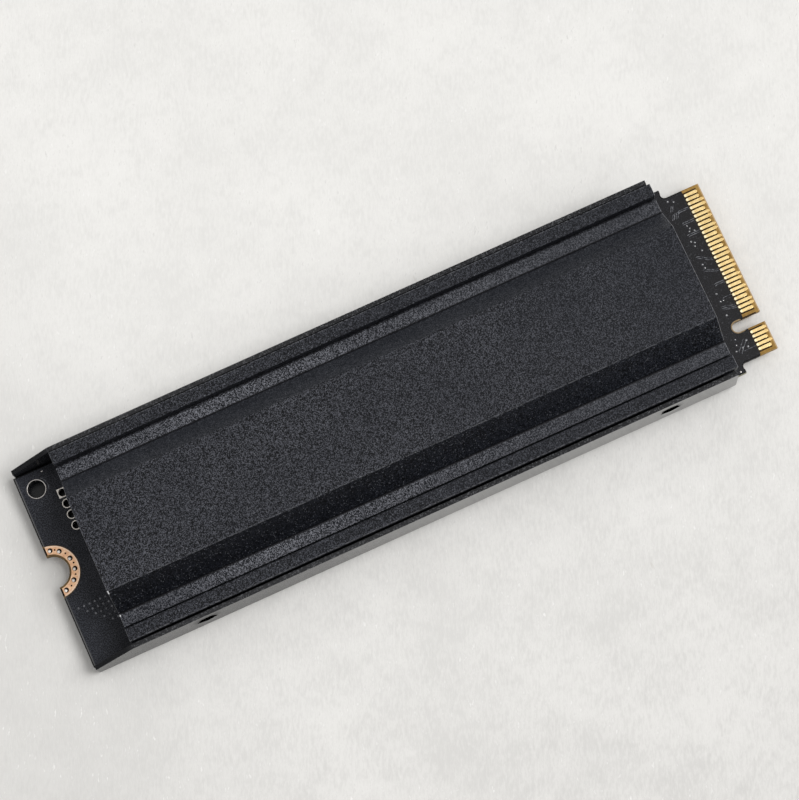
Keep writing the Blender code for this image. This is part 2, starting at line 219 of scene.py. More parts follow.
def arc(x, y, radius, start, end, steps):
    turns = [math.radians(start + (end - start) * step / steps) for step in range(steps + 1)]
    return [(x + radius * math.cos(turn), y + radius * math.sin(turn)) for turn in turns]


def circle(x, y, radius, steps):
    return arc(x, y, radius, 0, 360, steps)[:-1]


def eased(share):
    share = min(max(share, 0.0), 1.0)
    return share * share * (3 - 2 * share)


def addSplines(curve, outlines, level=0.0, closed=False):
    for outline in outlines:
        spline = curve.splines.new("POLY")
        spline.points.add(len(outline) - 1)
        for point, (x, y) in zip(spline.points, outline):
            point.co = (x, y, level, 1)
        spline.use_cyclic_u = closed


def meshOf(curve):
    holder = addObject("holder", curve)
    shape = bpy.data.meshes.new_from_object(holder.evaluated_get(bpy.context.evaluated_depsgraph_get()))
    bpy.data.objects.remove(holder)
    mesh = bmesh.new()
    mesh.from_mesh(shape)
    bpy.data.meshes.remove(shape)
    return mesh


def plateMesh(outlines, low, high, edge):
    # a flat sheet with holes and rounded edges, filled by a 2D curve
    curve = bpy.data.curves.new("plate", "CURVE")
    curve.dimensions = "2D"
    curve.fill_mode = "BOTH"
    addSplines(curve, outlines, closed=True)
    curve.extrude = (high - low) / 2 - edge
    curve.bevel_depth = edge
    curve.bevel_resolution = 2
    curve.offset = -edge
    mesh = meshOf(curve)
    bmesh.ops.remove_doubles(mesh, verts=mesh.verts[:], dist=0.0005)
    bmesh.ops.translate(mesh, verts=mesh.verts[:], vec=(0, 0, (low + high) / 2))
    bmesh.ops.recalc_face_normals(mesh, faces=mesh.faces[:])
    return mesh


camera = {
    "location": (-12.92, -51.45, 294.28),
    "rotation": (10.4935, 1.7964, -24.2762),      # degrees
    "lens": 125.48,
    "sensor": 36,
    "clip": (0.01, 50),                           # metres
}


def addCamera():
    data = bpy.data.cameras.new("camera")
    data.lens = camera["lens"]
    data.sensor_width = camera["sensor"]
    data.clip_start, data.clip_end = camera["clip"]
    holder = addObject("camera", data)
    holder.location = [v * mm for v in camera["location"]]
    holder.rotation_euler = [math.radians(v) for v in camera["rotation"]]
    bpy.context.scene.camera = holder
    bpy.context.scene.view_settings.view_transform = "Standard"


addCamera()
print("camera placed")


studio = {
    "keyStrength": 1.85,
    "keySpread": 32,                              # degrees across, so its shadow is soft
    "keyFrom": (0.52, -0.10, 0.85),
    "skyTop": 0.62,
    "skySide": 0.175,
    "skyDark": 0.033,                             # the unlit side of the room, behind the camera
    "skyTint": (1.0, 0.995, 0.985, 1.0),
    "darkSide": (-0.85, -0.35),                   # the directions between which each level turns
    "overhead": (0.2, 0.75),
}


def addLights():
    sun = bpy.data.lights.new("key", "SUN")
    sun.energy = studio["keyStrength"]
    sun.angle = math.radians(studio["keySpread"])
    addObject("key", sun).rotation_euler = Vector(studio["keyFrom"]).to_track_quat("Z", "Y").to_euler()

    world = bpy.data.worlds.new("sky")
    world.use_nodes = True
    bpy.context.scene.world = world
    sky = NodeTree(world.node_tree)
    direction = sky.node("ShaderNodeTexCoord", out="Generated")
    y, z = [sky.node("ShaderNodeSeparateXYZ", {}, {0: direction}, out=axis) for axis in "YZ"]
    side = sky.remap(y, *studio["darkSide"], (studio["skyDark"], studio["skySide"]))
    level = side + sky.remap(z, *studio["overhead"]) * (studio["skyTop"] - side)
    background = sky.tree.nodes["Background"]
    sky.tree.links.new(level.socket, background.inputs["Strength"])
    background.inputs["Color"].default_value = studio["skyTint"]


paper = {
    "half": 15000,
    "level": -0.01,
    "near": (0.900, 0.890, 0.865),
    "far": (0.834, 0.822, 0.799),                 # towards the bottom of the picture
    "farToNear": (-52, 12),                       # the places where it starts and ends to turn
    "nearShade": 0.90,                            # how dark its hollows are
    "farShade": 0.85,
    "paintedShade": (-22, -50),                           # painted shade: it dims a little beyond the screw end, where the key light's shadow falls
    "paintedShadeDim": 0.76,
    "paintedShadeShare": 0.5,
    "fibre": 0.34,
    "fibreTurn": 24.3,                            # degrees, the way its fibres lie
    "fibreStretch": 0.3,
    "fibreDark": 0.80,
    "fibreLight": (0.98, 0.97, 0.95),
    "pulp": 3.0,
    "cloud": 16,
    "fleck": (0.45, 0.40, 0.34),
    "fleckApart": 4.2,
}


def dimmed(colour, share):
    return [v * share for v in colour]


def mattePaper():
    paint = Finish("matte paper", Roughness=0.9, Specular_IOR_Level=0.2)
    x, y = paint.axes("XY")
    turn = math.radians(paper["fibreTurn"])
    along = x * math.sin(turn) + y * math.cos(turn)
    across = x * math.cos(turn) - y * math.sin(turn)
    strands = paint.node("ShaderNodeCombineXYZ", {}, {0: across * mm, 1: along * (paper["fibreStretch"] * mm)})
    fibre = paint.noise(paper["fibre"], 3.0, 0.65, place=strands)
    pulp = paint.noise(paper["pulp"], 3.0, 0.6)
    tone = paint.remap(fibre * 0.45 + pulp * 0.25 + paint.noise(paper["cloud"]) * 0.3, 0.38, 0.62)
    toNear = paint.remap(y, *paper["farToNear"])
    light = paint.mix(toNear, paper["far"], paper["near"])
    farShade, nearShade = dimmed(paper["far"], paper["farShade"]), dimmed(paper["near"], paper["nearShade"])
    shade = paint.mix(toNear, farShade, nearShade)
    # painted shade: the floor is darkened towards and beyond the screw end, on the shadow side
    paintedShade = paint.remap(x, *paper["paintedShade"]) * paper["paintedShadeShare"]
    colour = paint.mix(paintedShade, paint.mix(tone, shade, light), dimmed(paper["far"], paper["paintedShadeDim"]))
    patches = paint.remap(pulp, 0.42, 0.62)
    darkFibre = paint.remap(fibre, 0.56, 0.72) * patches * 0.8
    colour = paint.mix(darkFibre, colour, dimmed(paper["near"], paper["fibreDark"]))
    colour = paint.mix(paint.remap(fibre, 0.42, 0.30) * patches * 0.8, colour, paper["fibreLight"])
    flecks = paint.cells(paper["fleckApart"], place=paint.stretched((1.0, 0.35, 1.0)))
    colour = paint.mix(paint.remap(flecks, 0.045, 0.02) * 0.16, colour, paper["fleck"])
    paint.feed(Base_Color=colour)
    paint.bump(fibre, 0.05, 0.5)
    return paint


def addFloor():
    half = paper["half"]
    mesh = bmesh.new()
    corners = [(-half, -half), (half, -half), (half, half), (-half, half)]
    mesh.faces.new([mesh.verts.new((x, y, paper["level"])) for x, y in corners])
    floor = addObject("floor", inMetres("floor", mesh))
    floor.data.materials.append(mattePaper().material)


addLights()
addFloor()
print("light and floor placed")


ceramicGloss = {"Specular_IOR_Level": 0.4}
plainLooks = {
    # each one's constants, the grain's size, its dark and light colours, their roughness and its height
    "tin plate": ({"Metallic": 1.0}, 0.15, (0.52, 0.49, 0.47), (0.74, 0.71, 0.69), (0.22, 0.36), 0.006),
    "bright solder": ({"Metallic": 0.4}, 0.12, (0.95, 0.88, 0.80), (1.0, 0.97, 0.92), (0.3, 0.42), 0.004),
    "tan ceramic": (ceramicGloss, 0.07, (0.30, 0.19, 0.11), (0.42, 0.29, 0.18), (0.45, 0.6), 0.005),
    "black resistor glaze": (ceramicGloss, 0.07, (0.012, 0.012, 0.013), (0.022, 0.022, 0.024),
                             (0.3, 0.45), 0.005),
    "grey ferrite": (ceramicGloss, 0.07, (0.07, 0.07, 0.075), (0.12, 0.12, 0.125), (0.5, 0.7), 0.005),
    "steel lid": (ceramicGloss, 0.07, (0.5, 0.5, 0.49), (0.7, 0.69, 0.67), (0.25, 0.4), 0.005),
}


def plainFinish(name):
    fixed, size, dark, light, roughness, height = plainLooks[name]
    paint = Finish(name, **fixed)
    grain = paint.noise(size, 3.0, 0.6)
    paint.feed(Base_Color=paint.mix(paint.remap(grain, 0.3, 0.7), dark, light),
               Roughness=paint.remap(grain, 0.3, 0.7, roughness))
    paint.bump(grain, height, 0.5)
    return paint


tin = plainFinish("tin plate")
solder = plainFinish("bright solder")
print("plain finishes mixed")


heatsink = {
    "rearX": -35.03,
    "frontX": 34.36,
    "plateauTop": 9.35,
    "plateauHalf": 5.36,
    "slopeFoot": 7.67,
    "ledgeTop": 6.75,
    "grooveInner": 9.16,
    "grooveOuter": 9.47,
    "grooveFloor": 5.95,
    "flangeTop": 7.65,
    "skirtOuter": 10.87,
    "skirtInner": 9.97,
    "skirtBase": 2.4,
    "plateBase": 4.09,
    "snapFloor": 10.42,
    "snapLow": 4.08,
    "snapHigh": 5.88,
    "edge": 0.05,
    "brow": 0.09,
}

anodised = {
    "grain": 0.09,
    "coarse": 0.3,
    "cloud": 9.0,
    "bead": 0.08,                                 # the dimples of the blasting beads
    "beadBorder": (0.05, 0.06),
    "dark": (0.0010, 0.0012, 0.0020),
    "light": (0.090, 0.0935, 0.1110),
    # the ledges' colours: their wider spread is grain, and their extra lightness is painted reflection of the
    # flange wall beside them
    "ledgeDark": (0.003, 0.0036, 0.0056),
    "ledgeLight": (0.220, 0.226, 0.256),
    "flangeLight": (0.068, 0.0715, 0.0860),
    # painted light and shade on the slopes: the near slope's colours are shaded, the far slope's lit by the key
    # light
    "nearSlopeDark": (0.0001, 0.0002, 0.0008),
    "nearSlopeLight": ((0.0165, 0.0185, 0.0250), (0.0330, 0.0370, 0.0480)),   # screw end, contact end
    "farSlopeDark": (0.0140, 0.0155, 0.0195),
    "farSlopeLight": ((0.0700, 0.0740, 0.0865), (0.0920, 0.0960, 0.1100)),
    "ledgeCalm": (0.052, 0.055, 0.064),
    "glint": (0.150, 0.156, 0.175),
    "deepened": (0.008, 0.0095, 0.0145),
    # the brow, rim and end highlight colours are painted highlights along the edges
    "brow": (0.22, 0.225, 0.24),
    "rim": (0.20, 0.205, 0.22),
    "endHighlight": (0.24, 0.245, 0.26),
    "cornerGlint": (0.80, 0.80, 0.82),
    "browGlint": (-5.7, -5.36),                    # where the two painted corner glints lie across the section
    "footGlint": (-7.95, -7.7),
    # painted shade: the skirt behind the wall is painted near black
    "shadeBehindWall": (0.0005, 0.0005, 0.0006),
    # painted shade in the crease at each slope's foot
    "slopeFoot": (0.002, 0.002, 0.003),
    "roughness": (0.52, 0.42),
}


def blastedAnodise():
    h, look = heatsink, anodised
    paint = Finish("blasted black anodise", Specular_IOR_Level=0.15)
    x, y, z = paint.axes("XYZ")
    away = abs(y)
    grain = paint.noise(look["grain"], 1.0)
    coarse = paint.noise(look["coarse"])
    spark, bead = paint.beads(look["bead"], look["beadBorder"], (0, 1))
    tone = paint.remap(grain * 0.32 + coarse * 0.06 + bead * 0.62, 0.42, 0.80)

    ledge = paint.between(away, h["slopeFoot"] + 0.05, h["grooveInner"], 0.05)
    slope = paint.between(away, h["plateauHalf"] + 0.06, h["slopeFoot"] - 0.03, 0.05)
    flange = paint.remap(away, h["grooveOuter"] - 0.07, h["grooveOuter"] + 0.03)
    # the ledges take the lighter copy, partly painted reflection of the flange wall beside them
    dark = paint.mix(ledge, look["dark"], look["ledgeDark"])
    light = paint.mix(flange, paint.mix(ledge, look["light"], look["ledgeLight"]), look["flangeLight"])
    # painted light and shade: the far slope, facing the key light, takes a lit copy of the anodise and the near
    # slope a shaded, near-black one; both grow lighter towards the contact end
    nearLight = paint.mix(paint.remap(x, -25, 34), *look["nearSlopeLight"])
    farLight = paint.mix(paint.remap(x, 15, 34), *look["farSlopeLight"])
    nearSlope = paint.mix(tone, look["nearSlopeDark"], nearLight)
    farSlope = paint.mix(tone, look["farSlopeDark"], farLight)
    slopes = paint.mix(slope * (y > 0), nearSlope, farSlope)
    colour = paint.mix(slope, paint.mix(tone, dark, light), slopes)
    colour = paint.mix(ledge * paint.remap(x, -5, 25) * 0.35, colour, look["ledgeCalm"])
    # painted glints: sparse beads are lightened where the blasted surface would sparkle
    colour = paint.mix(paint.remap(spark, 0.94, 1.0) * (0.9 - slope * 0.1), colour, look["glint"])

    # the black deepens towards the contacts, and on the ledges towards the screw end
    deepened = paint.remap(paint.noise(look["cloud"]), 0.3, 0.7) * 0.2
    deepened = deepened + paint.remap(x, -25, 34) * (0.25 + ledge * 0.1) * (1 - slope)
    deepened = deepened + paint.remap(x, 12, 34) * 0.12 * (away < h["plateauHalf"] + 0.04)
    deepened = deepened + paint.remap(x, -18, -30) * ledge * (0.15 + 0.2 * (y < 0))
    colour = paint.mix(deepened, colour, look["deepened"])

    # painted highlights along the plateau's brow, the flange's rim and the ends, and painted shade on the skirt
    # that the wall shuts in
    highlightBreakup = paint.remap(paint.noise(0.35, 3.0, 0.7), 0.40, 0.62)
    brow = paint.between(away, h["plateauHalf"] - 0.06, h["plateauHalf"] + 0.05, 0.02)
    brow = brow * paint.remap(z, h["plateauTop"] - 0.13, h["plateauTop"] - 0.08)
    rim = paint.between(away, h["skirtOuter"] - 0.11, h["skirtOuter"] + 0.05, 0.02)
    rim = rim * (z > h["flangeTop"] - 0.15)
    # painted shade on the skirt that the wall shuts in
    shadeBehindWall = (away > h["skirtInner"] + 0.23) * (z < h["ledgeTop"] + 0.15) * (abs(x) < 33)
    middle, half = (h["frontX"] + h["rearX"]) / 2, (h["frontX"] - h["rearX"]) / 2
    ends = paint.between(abs(x - middle), half - 0.055, half - 0.007, 0.005)
    ends = ends * paint.remap(z, h["ledgeTop"] - 0.15, h["ledgeTop"] - 0.05)
    # painted highlights: a broken line along the plateau's brow, stronger on the near side, one along the
    # flange's rim, and one along each end, stronger at the contact end
    colour = paint.mix(brow * highlightBreakup * (0.26 - 0.16 * (y > 0)), colour, look["brow"])
    colour = paint.mix(rim * highlightBreakup * 0.4, colour, look["rim"])
    colour = paint.mix(shadeBehindWall, colour, look["shadeBehindWall"])
    colour = paint.mix(ends * (0.15 + 0.3 * (x > 0) + highlightBreakup * 0.35), colour, look["endHighlight"])

    # two painted glints at the screw end's corners, and painted shade in the crease along each slope's foot
    glintSpots = paint.between(y, *look["browGlint"], 0.03) * (z > 9.0)
    glintSpots = glintSpots + paint.between(y, *look["footGlint"], 0.03) * paint.between(z, 6.6, 6.9, 0.02)
    cornerGlint = paint.remap(x, h["rearX"] + 0.17, h["rearX"] + 0.11) * glintSpots * 0.85
    foot = paint.between(away, h["slopeFoot"] - 0.11, h["slopeFoot"] + 0.13, 0.03) * (z < h["ledgeTop"] + 0.2)
    colour = paint.mix(cornerGlint, colour, look["cornerGlint"])
    colour = paint.mix(foot * 0.8, colour, look["slopeFoot"])
    paint.feed(Base_Color=colour, Roughness=paint.remap(grain, 0.3, 0.7, look["roughness"]))
    paint.bump(grain * 0.7 + coarse * 0.3, 0.02, 0.6)
    return paint


def heatsinkProfile():
    h = heatsink
    half = [(h["skirtInner"], h["plateBase"]), (h["skirtInner"], h["skirtBase"]),
            (h["skirtOuter"], h["skirtBase"]), (h["skirtOuter"], h["snapLow"]),
            (h["snapFloor"], h["snapLow"]), (h["snapFloor"], h["snapHigh"]),
            (h["skirtOuter"], h["snapHigh"]), (h["skirtOuter"], h["flangeTop"]),
            (h["grooveOuter"], h["flangeTop"]), (h["grooveOuter"], h["grooveFloor"]),
            (h["grooveInner"], h["grooveFloor"]), (h["grooveInner"], h["ledgeTop"]),
            (h["slopeFoot"], h["ledgeTop"]), (h["plateauHalf"], h["plateauTop"])]
    return half + [(-y, z) for y, z in reversed(half)]


def buildHeatsink():
    mesh = bmesh.new()
    weights = mesh.edges.layers.float.new("bevel_weight_edge")
    rings = []
    for x in (heatsink["rearX"], heatsink["frontX"]):
        rings.append([mesh.verts.new((x, y, z)) for y, z in heatsinkProfile()])
    mesh.faces.new(rings[0])
    mesh.faces.new(reversed(rings[1]))
    for one, two in zip(range(len(rings[0])), [*range(1, len(rings[0])), 0]):
        mesh.faces.new((rings[0][one], rings[1][one], rings[1][two], rings[0][two]))
    bmesh.ops.recalc_face_normals(mesh, faces=mesh.faces[:])
    for edge in mesh.edges:
        along = abs(edge.verts[0].co.x - edge.verts[1].co.x) > 1
        onBrow = along and edge.verts[0].co.z > heatsink["plateauTop"] - 0.1
        edge[weights] = 1.0 if onBrow else heatsink["edge"] / heatsink["brow"]
    piece = addPiece("heatsinkExtrusion", mesh, [blastedAnodise()], ["heatsink"])
    addBevel(piece, heatsink["brow"], 3, weighted=True)


buildHeatsink()
print("heatsink extruded")


tray = {
    "rearX": -39.74,
    "frontX": 34.13,
    "rake": 0.26,                                 # how far the wall's front leans out towards its foot
    "footCut": 0.16,                              # how far its lower corner is rounded back
    "baseFrontX": 34.95,
    "wallOuter": 11.58,
    "wallTop": 7.0,
    "wallFoot": 1.1,
    "rearWallTop": 3.6,
    "taperEndX": -35.03,
    "bend": 0.8,
    "sheet": 0.5,
    "edge": 0.05,
    "notchX": -40.0,
    "notchRadius": 3.3,
    "slotX": (26.5, -26.95),
    "slotHalf": 1.2,
    "slotLow": 3.85,
    "slotHigh": 4.2,
    "lanceHalf": 1.7,
    "lanceRise": 1.3,                             # the height over which the strip is pressed in
    "lancePush": 0.28,
    "lipBulge": 0.09,
    "columns": (-39.0, 1.5, 49),                  # the first place, their spacing and number
    "rowsAboveSlot": (6.5, 5.5, 5.25, 5.0, 4.75, 4.5, 4.35),
    "rowsBelowSlot": (3.2, 2.4, 1.9, 1.5),
    "baseRows": (8.5, 6.5, 5.0, 4.0),
    "notchRows": (1, 0.97, 0.9, 0.78, 0.6, 0.4, 0.2),        # shares of its radius
}

coated = {
    "mottle": 2.5,
    "peel": 0.3,
    "grain": 0.09,
    "bead": 0.11,
    "beadBorder": (0.05, 0.12),
    "dark": (0.004, 0.0044, 0.0056),
    "light": (0.009, 0.0096, 0.0120),
    "rim": (0.110, 0.112, 0.120),
    "dust": (0.05, 0.052, 0.058),
    "pressed": (0.016, 0.016, 0.018),
    "slit": (0, 0, 0),
    "roughness": (0.05, 0.10),
}


def coatedSheet():
    paint = Finish("black coated sheet", Specular_IOR_Level=0.36)
    x, z = paint.axes("XZ")
    peel = paint.noise(coated["peel"])
    [bead] = paint.beads(coated["bead"], coated["beadBorder"], (0,))
    rim = paint.remap(z, tray["wallTop"] - 0.1, tray["wallTop"] - 0.04)
    colour = paint.mix(paint.noise(coated["mottle"]), coated["dark"], coated["light"])
    colour = paint.mix(rim * paint.remap(bead, 0.72, 1.0) * 0.8, colour, coated["rim"])
    colour = paint.mix(paint.remap(paint.noise(coated["grain"]), 0.58, 0.72) * 0.35, colour, coated["dust"])

    # the strip over each slit is painted lighter and rougher, and the slits' cut faces are painted black with
    # no reflection, as painted shade where no light reaches
    fromSlots = [abs(x - centre) for centre in tray["slotX"]]
    pressed = sum(paint.remap(away, tray["lanceHalf"] + 0.2, 0.7) for away in fromSlots)
    pressed = pressed * paint.remap(z, 6.8, 5.6) * (z > tray["slotLow"] + 0.05)
    normal = paint.node("ShaderNodeNewGeometry", out="Normal")
    level = paint.node("ShaderNodeSeparateXYZ", {}, {0: normal}, out="Z")
    slit = paint.between(z, tray["slotLow"] - 0.03, tray["slotHigh"] + 0.03, 0.01) * (abs(level) > 0.3)
    slit = slit * sum(away < tray["slotHalf"] for away in fromSlots)
    colour = paint.mix(slit, paint.mix(pressed * 0.6, colour, coated["pressed"]), coated["slit"])
    roughness = paint.remap(peel, 0.3, 0.7, coated["roughness"])
    roughness = roughness + rim * 0.12 + paint.remap(x, 10, -20) * 0.2 + pressed * 0.15
    paint.feed(Base_Color=colour, Metallic=slit, Roughness=roughness)
    paint.bump(peel, 0.002, 0.4)
    return paint


def trayColumns():
    first, apart, count = tray["columns"]
    stops = {tray["rearX"], tray["taperEndX"], tray["frontX"], *[first + apart * step for step in range(count)]}
    for centre in tray["slotX"]:
        stops = {stop for stop in stops if abs(stop - centre) > tray["lanceHalf"] + 0.2}
        stops |= {round(centre + step * tray["lanceHalf"] / 12, 4) for step in range(-12, 13)}
    return sorted(stops)


def lanceDepth(x, z):
    # how far the wall is pressed inwards: the strip over a slit goes in, and its lower lip a little out
    low, high, half = tray["slotLow"], tray["slotHigh"], tray["slotHalf"]
    if z < low + 0.01:
        rise = eased((low - z) / tray["lanceRise"])
        reach, push = half, -tray["lipBulge"]
    else:
        rise = eased((z - high) / tray["lanceRise"])
        reach, push = half + (tray["lanceHalf"] - half) * rise, tray["lancePush"]
    away = min(abs(x - centre) for centre in tray["slotX"]) / reach
    return push * math.cos(away * math.pi / 2) ** 1.4 * (1 - rise) if away < 1 else 0.0


def slitTop(x):
    # the cut edge of the pressed strip arches up from both ends of the slit
    away = min(abs(x - centre) for centre in tray["slotX"])
    low, high, half = tray["slotLow"] + 0.03, tray["slotHigh"], tray["slotHalf"]
    if away <= half:
        return low + (high - low) * math.cos(away / half * math.pi / 2) ** 1.2
    return low + (high - low) * min((away - half) / (tray["lanceHalf"] - half), 1.0)


def wallHeight(x):
    run = (x - tray["rearX"]) / (tray["taperEndX"] - tray["rearX"])
    return tray["rearWallTop"] + (tray["wallTop"] - tray["rearWallTop"]) * min(max(run, 0.0), 1.0)


def sheetRear(kind, y):
    if kind == "base" and abs(y) < tray["notchRadius"]:
        return max(tray["rearX"], tray["notchX"] + math.sqrt(tray["notchRadius"] ** 2 - y * y))
    return tray["rearX"]


def sheetFront(kind, z):
    top, foot = tray["wallTop"], tray["wallFoot"]
    lean = tray["frontX"] + tray["rake"] * min((top - z) / (top - foot), 1.0)
    lean -= tray["footCut"] * eased((foot + 0.1 - z) / foot)
    if kind == "wall":
        return lean
    return lean + (tray["baseFrontX"] - lean) * eased((0.3 - z) / 0.3)


def sheetPath():
    # the outer surface from one wall's top, round the base, to the other's: its kind, and its y and z
    outer, bend, notch = tray["wallOuter"], tray["bend"], tray["notchRadius"]
    levels = [tray["wallTop"], *tray["rowsAboveSlot"], tray["slotHigh"]]
    levels += [tray["slotLow"], *tray["rowsBelowSlot"], tray["wallFoot"]]
    path = [("wall", outer, z) for z in levels]
    path += [("bend", y, z) for y, z in arc(outer - bend, bend, bend, 0, -90, 8)]
    path += [("base", y, 0.0) for y in (*tray["baseRows"], notch + 0.05)]
    path += [("base", notch * share, 0.0) for share in tray["notchRows"]]
    return path + [("base", 0.0, 0.0)] + [(kind, -y, z) for kind, y, z in reversed(path)]


def buildTray():
    path, columns, foot = sheetPath(), trayColumns(), tray["wallFoot"]
    first, apart, count = tray["columns"]
    last = first + apart * (count - 1)            # beyond it the columns spread to the raked front
    mesh = bmesh.new()
    grid = []
    for kind, y, z in path:
        row = []
        for x in columns:
            level = slitTop(x) if kind == "wall" and z == tray["slotHigh"] else z
            if kind == "wall" and z > foot:
                level = foot + (level - foot) * (wallHeight(x) - foot) / (tray["wallTop"] - foot)
            start, end = sheetRear(kind, y), sheetFront(kind, z)
            place = x
            if x < tray["taperEndX"]:
                share = (x - tray["rearX"]) / (tray["taperEndX"] - tray["rearX"])
                place = start + share * (tray["taperEndX"] - start)
            if x > last:
                place = last + (x - last) * (end - last) / (tray["frontX"] - last)
            push = lanceDepth(x, z) if kind == "wall" else 0.0
            row.append(mesh.verts.new((place, y - push * math.copysign(1, y), level)))
        grid.append(row)
    for r in range(len(path) - 1):
        atSlot = path[r][0] == "wall" and {path[r][2], path[r + 1][2]} == {tray["slotLow"], tray["slotHigh"]}
        for c in range(len(columns) - 1):
            middle = (columns[c] + columns[c + 1]) / 2
            if not (atSlot and any(abs(middle - centre) < tray["slotHalf"] for centre in tray["slotX"])):
                mesh.faces.new((grid[r][c], grid[r][c + 1], grid[r + 1][c + 1], grid[r + 1][c]))
    bmesh.ops.recalc_face_normals(mesh, faces=mesh.faces[:])
    lowest = min(mesh.faces, key=lambda face: face.calc_center_median().z)
    if lowest.normal.z > 0:
        bmesh.ops.reverse_faces(mesh, faces=mesh.faces[:])
    piece = addPiece("foldedTray", mesh, [coatedSheet()], ["tray"])
    fold = piece.modifiers.new("sheet", "SOLIDIFY")
    fold.thickness = tray["sheet"] * mm
    fold.offset = -1.0
    fold.use_even_offset = True
    addBevel(piece, tray["edge"], 2, angle=50)


buildTray()
print("tray folded")


board = {
    "endX": -40.0,
    "tipX": 40.0,
    "half": 11.0,
    "low": 1.3,
    "high": 2.1,
    "tongueHalf": 9.925,
    "shoulderX": 35.82,
    "reliefRadius": 0.46,
    "reliefReach": 0.40,                          # from the shoulder's face to the relief's centre
    "keyY": -6.125,
    "keyWidth": 1.2,
    "keyDepth": 3.5,
    "screwHole": 1.75,
    "maskEndX": 38.03,
    "maskThickness": 0.03,
    "maskInset": 0.12,
    "toolingHole": (-38.12, 8.98),
    "toolingRadius": 0.95,
    "toolingClear": 1.1,
    "header": [(-35.75, 7.5), (-35.75, 6.23), (-35.75, 4.96), (-35.75, 3.69)],
    "headerHole": 0.41,
    "headerPad": 0.53,
    "copper": 0.04,                               # how far the copper stands out of the board
}

contact = {
    "pitch": 0.5,
    "first": {"Upper": 9.25, "Lower": 9.0},
    "places": {"Upper": 38, "Lower": 37},
    "keyed": range(29, 33),                       # the places left out at the key notch
    "shortBeyond": (35, 37),                      # the short ones on its far side
    "half": 0.183,
    "backX": 38.03,
    "long": (39.9, 0.22, 0.13),                   # the tip, the length of its taper and its radius
    "short": (39.58, 0.10, 0.15),
    "edge": 0.025,
}

land = {
    "outer": 2.88,
    "rim": 0.2,
    "clear": 0.06,
    "vias": [75, 51, 17, -13, -43, -76],          # degrees round the screw hole
    "viaReach": 2.36,
    "viaRadius": 0.27,
    "dots": [63, 34, 2, -28, -59],
    "dotReach": 2.42,
    "dotRadius": 0.09,
}

masked = {
    "speck": 0.105,
    "speckBorder": (0.05, 0.12),
    "specks": (0.10, 0.103, 0.112),
    "dark": (0.0022, 0.0030, 0.0054),
    "light": (0.046, 0.049, 0.062),
    "clouded": (0.007, 0.0085, 0.0125),
    "contactEnd": (0.0052, 0.0042, 0.0042),
    "edgeHighlight": (0.18, 0.178, 0.175),
    "roughness": (0.36, 0.46),
}

sawn = {
    "tan": ((0.28, 0.160, 0.038), (0.40, 0.240, 0.066)),     # the dark and the light, as in the other pairs
    "tanRim": (0.70, 0.52, 0.34),
    "gap": (0.030, 0.013, 0.001),
    "core": ((0.0020, 0.0020, 0.0024), (0.006, 0.0056, 0.0055)),
    "hole": ((0.115, 0.072, 0.026), (0.20, 0.13, 0.055)),
    "viaHoleShade": (0.012, 0.006, 0.003),
    "key": (0.34, 0.24, 0.13),
    "shoulder": (0.40, 0.39, 0.28),
}

plated = {
    "gold": ((0.68, 0.50, 0.225), (0.78, 0.60, 0.29)),
    "goldEndHighlight": (0.86, 0.79, 0.54),              # a painted highlight on the contacts' rounded ends, by the mask
    "goldRubbed": (0.60, 0.40, 0.15),             # by the socket, at the tips
    "copper": ((0.82, 0.46, 0.26), (1.0, 0.68, 0.45)),
    "copperRim": (1.0, 0.78, 0.62),
    "roughness": (0.28, 0.42),
}


def solderMask():
    paint = Finish("black solder mask", Specular_IOR_Level=0.2)
    [x] = paint.axes("X")
    [speck] = paint.beads(masked["speck"], masked["speckBorder"], (0,))
    fine = paint.noise(0.11, 1.5, 0.6)
    cloud = paint.noise(1.6, 3.0)
    colour = paint.mix(paint.remap(fine, 0.42, 0.60), masked["dark"], masked["light"])
    colour = paint.mix(paint.remap(cloud, 0.3, 0.7) * 0.3, colour, masked["clouded"])
    toContacts = paint.remap(x, 34.5, 35.5) * (0.66 + paint.remap(x, 36.5, 37.6) * 0.15)
    colour = paint.mix(toContacts, colour, masked["contactEnd"])
    # painted glints: sparse pale specks on the mask
    colour = paint.mix(paint.remap(speck, 0.94, 1.0) * 0.4, colour, masked["specks"])
    # painted highlight: a pale line along the mask's edge at the screw end
    edgeHighlight = paint.remap(x, board["endX"] + 0.28, board["endX"] + 0.22)
    colour = paint.mix(edgeHighlight * 0.5, colour, masked["edgeHighlight"])
    paint.feed(Base_Color=colour, Roughness=paint.remap(cloud, 0.3, 0.7, masked["roughness"]))
    paint.bump(fine * 0.5 + cloud * 0.5, 0.008, 0.6)
    return paint


